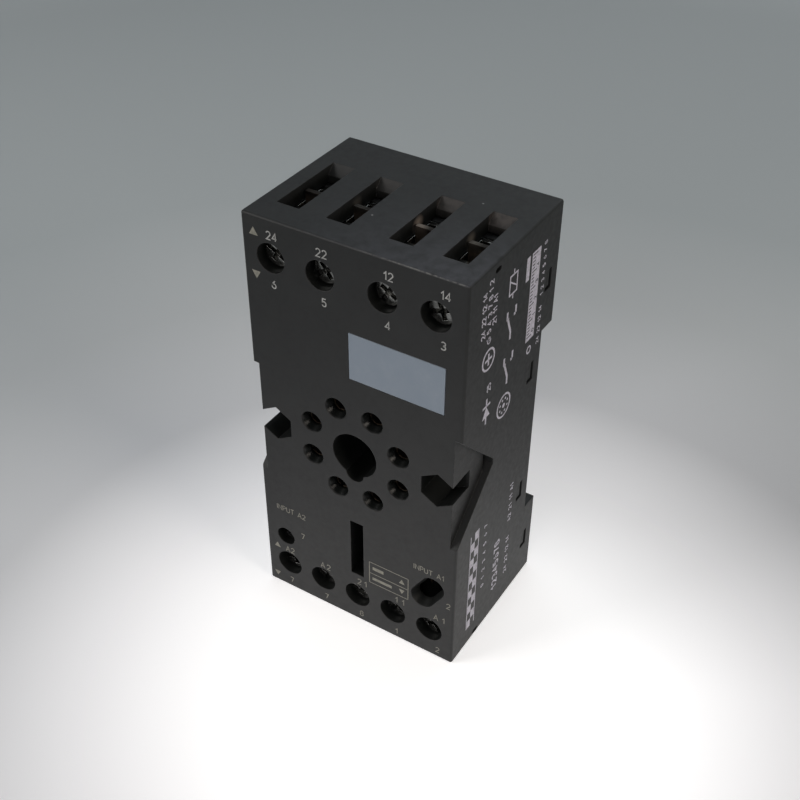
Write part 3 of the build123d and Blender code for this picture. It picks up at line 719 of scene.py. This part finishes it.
def pin_circle(sheet, where):
    """The eight pins about the key."""
    sheet.ring(2.05, 0.34, where)
    for pin in range(8):
        turn = math.radians(22.5 + 45 * pin)
        sheet.dot(0.22, where, (1.25 * math.cos(turn), 1.25 * math.sin(turn)))
    sheet.dot(0.42, where)


def screw_mark(sheet, where):
    """A screw head with its cross."""
    sheet.ring(1.75, 0.36, where)
    sheet.line((-1.05, 0), (1.05, 0), 0.4, where)
    for start, end in ((-1.05, -0.22), (0.22, 1.05)):
        sheet.line((0, start), (0, end), 0.4, where)


def diode_mark(sheet, where, width=0.4):
    sheet.plate([(-1.1, -1.15), (0.9, 0.0), (-1.1, 1.15)], where)
    sheet.line((1.05, -1.15), (1.05, 1.15), width, where)
    for start, end in ((-2.4, -1.1), (1.05, 2.4)):
        sheet.line((start, 0), (end, 0), width, where)


STRIP_LOW, STRIP_HIGH = 55.6, 71.5
STRIP_HALF = 1.35
SCALE_LOW = 4.0
SCALE_HALF = 1.3
SCALE_BLOCKS = 12
SCALE_BLOCK = 1.84
SCALE_RULE = 0.22
strip = side_sheet(20.15, 0.0)
scale = side_sheet(6.0, 0.0)
marks = Sheet()
number_rows(marks, (("24 22 12 14", 4.6, 68.6), ("6 5 4 3 7 8 1 2", 6.3, 68.6), ("21 11 A1", 7.8, 68.1)),
            1.05, 0.2, 0.22)
coil_mark(marks, side_sheet(13.1, 69.5))
for up in (62.5, 54.3):
    changeover_mark(marks, side_sheet(13.2, up))
pin_circle(marks, side_sheet(12.8, 47.65))
screw_mark(marks, side_sheet(6.7, 60.1))
marks.ring(0.45, 0.2, side_sheet(6.5, 63.5))
number_rows(marks, (("25", 7.4, 54.6),), 1.0, 0.2, 0.22)
diode_mark(marks, side_sheet(7.0, 50.3))
# Short bar, long strip that carries dark ticks, and the row beside it
marks.bar(-2.05, 2.05, -0.52, 0.52, side_sheet(17.6, 69.45))
marks.bar(STRIP_LOW, STRIP_HIGH, -STRIP_HALF, STRIP_HALF, strip)
marks.ring(0.6, 0.3, side_sheet(20.2, 53.6))
number_rows(marks, (("1 2 3 4 5 6 7 8", 23.1, 66.8), ("24 22 12 14", 23.1, 56.6)), 0.8, 0.16, 0.36)
# Bold scale of blocks with its numbers, and the rows of numbers beside it
for step in range(SCALE_BLOCKS):
    low_side = -SCALE_HALF if step % 2 else 0.0
    marks.bar(SCALE_LOW + SCALE_BLOCK * step, SCALE_LOW + SCALE_BLOCK * (step + 1), low_side,
              low_side + SCALE_HALF, scale)
for side in (-SCALE_HALF, SCALE_HALF):
    marks.line((SCALE_LOW, side), (SCALE_LOW + SCALE_BLOCK * SCALE_BLOCKS, side), SCALE_RULE, scale)
number_rows(marks, (("0 1 2 3 4 5 6 7", 9.7, 17.6),), 0.85, 0.18, 0.75)
number_rows(marks, (("12345678", 14.4, 11.4),), 1.6, 0.34, 0.42)
number_rows(marks, (("24 22 12 14", 18.4, 10.6), ("A2 21 11 A1", 18.4, 23.0)), 0.95, 0.2, 0.42)
marks.piece("print_side_marks", INKS["lilac"])

TICK_START = STRIP_LOW + 0.6
TICK_PITCH = 0.59
TICK_WIDE = 0.2
TICK_EDGE = 1.1
TICK_LONG, TICK_SHORT = 1.5, 0.8
ticks = Sheet()
for step in range(26):
    reach = TICK_LONG if step % 5 == 0 else TICK_SHORT
    up = TICK_START + TICK_PITCH * step
    ticks.bar(up, up + TICK_WIDE, TICK_EDGE - reach, TICK_EDGE, strip, lift=TICK_LIFT)
for step in range(5):
    number_place = side_sheet(20.9, TICK_START + 0.75 + 5 * TICK_PITCH * step)
    ticks.words(str(step), 0.75, number_place @ Matrix.Translation((0, 0, TICK_LIFT)), 0.16)
ticks.piece("print_side_ticks", INKS["dark"])

# Lamps: name, place, size of the square, power and colour; each shines at the middle of the part
LAMP_TARGET = Vector((0, 0, 0.038))
LAMPS = (
    ("top_light", (-0.10, 0.20, 0.60), 0.5, 1.0, (0.88, 0.95, 1.0)),
    ("key_light", (0.50, -0.06, 0.30), 0.25, 1.15, (1.0, 0.92, 0.83)),
    ("left_light", (-0.50, -0.45, 0.40), 0.4, 2.7, (1.0, 0.98, 0.96)),
    ("back_light", (0.02, 0.66, 0.19), 0.4, 0.6, (0.97, 0.99, 1.0)),
    ("front_light", (0.10, -0.65, 0.35), 0.4, 1.3, (1.0, 0.97, 0.95)),
)
WORLD_STRENGTH = 0.04


def soft_light(name, place, size, power, colour):
    lamp = bpy.data.lights.new(name, "AREA")
    lamp.shape = "RECTANGLE"
    lamp.size = lamp.size_y = size
    lamp.energy = power
    lamp.color = colour
    holder = bpy.data.objects.new(name, lamp)
    bpy.context.scene.collection.objects.link(holder)
    holder.location = place
    holder.rotation_euler = (LAMP_TARGET - Vector(place)).to_track_quat("-Z", "Y").to_euler()


def studio_world():
    """Faint even light from all round; the camera sees a plain grey there."""
    world = bpy.data.worlds.new("studio")
    world.use_nodes = True
    nodes, links = world.node_tree.nodes, world.node_tree.links
    nodes["Background"].inputs["Color"].default_value = (*WORLD_TINT, 1.0)
    nodes["Background"].inputs["Strength"].default_value = WORLD_STRENGTH
    wall = nodes.new("ShaderNodeBackground")
    wall.inputs["Color"].default_value = (*FAR_GREY, 1.0)
    ray = nodes.new("ShaderNodeLightPath")
    either = nodes.new("ShaderNodeMixShader")
    links.new(ray.outputs["Is Camera Ray"], either.inputs[0])
    links.new(nodes["Background"].outputs[0], either.inputs[1])
    links.new(wall.outputs[0], either.inputs[2])
    links.new(either.outputs[0], nodes["World Output"].inputs["Surface"])
    return world


def floor_material():
    """Pale matt sheet with a painted pool of light around the part that fades to a soft grey."""
    look = Look("floor")
    away = look.distance(look.place, POOL_CENTRE)
    look.link(look.tones(away, PAINTED_POOL_TONES), look.shader.inputs["Base Color"])
    look.shader.inputs["Roughness"].default_value = FLOOR_ROUGHNESS
    # Camera and mirror rays see the pool whiter and the far floor paler than the lamps alone make them
    path = look.add("ShaderNodeLightPath")
    seen = look.add("ShaderNodeMath", operation="MAXIMUM")
    look.link(path.outputs["Is Camera Ray"], seen.inputs[0])
    look.link(path.outputs["Is Glossy Ray"], seen.inputs[1])
    look.link(look.tones(away, FLOOR_GLOW), look.shader.inputs["Emission Color"])
    look.link(seen.outputs["Value"], look.shader.inputs["Emission Strength"])
    look.link(look.bump(look.noise(*FLOOR_GRAIN), FLOOR_BUMP), look.shader.inputs["Normal"])
    return look.material


def sweep_floor():
    """Floor that curves up into a backdrop behind the part."""
    half = 1.6
    near, far, bend, rise = -1.2, 0.9, 0.35, 1.3
    bend_steps = 12
    profile = [(near, 0.0), (far, 0.0)]
    for step in range(1, bend_steps + 1):
        angle = math.pi / 2 * step / bend_steps
        profile.append((far + bend * math.sin(angle), bend * (1 - math.cos(angle))))
    profile.append((far + bend, rise))
    shape = bpy.data.meshes.new("floor")
    verts = [(x, y, z) for y, z in profile for x in (-half, half)]
    faces = [(2 * i, 2 * i + 1, 2 * i + 3, 2 * i + 2) for i in range(len(profile) - 1)]
    shape.from_pydata(verts, [], faces)
    shape.shade_smooth()
    shape.materials.append(floor_material())
    thing = bpy.data.objects.new("floor", shape)
    bpy.context.scene.collection.objects.link(thing)


def photograph_camera():
    lens = bpy.data.cameras.new("camera")
    lens.lens = CAMERA_LENS
    lens.sensor_width = CAMERA_SENSOR
    lens.clip_start = CAMERA_NEAREST
    camera = bpy.data.objects.new("camera", lens)
    bpy.context.scene.collection.objects.link(camera)
    aim = (CAMERA_TARGET - CAMERA_PLACE).to_track_quat("-Z", "Y").to_matrix().to_4x4()
    camera.matrix_world = Matrix.Translation(CAMERA_PLACE) @ aim @ Matrix.Rotation(CAMERA_ROLL, 4, "Z")
    return camera


for lamp_row in LAMPS:
    soft_light(*lamp_row)
bpy.context.scene.world = studio_world()
sweep_floor()
bpy.context.scene.camera = photograph_camera()
bpy.context.scene.view_settings.view_transform = "Standard"
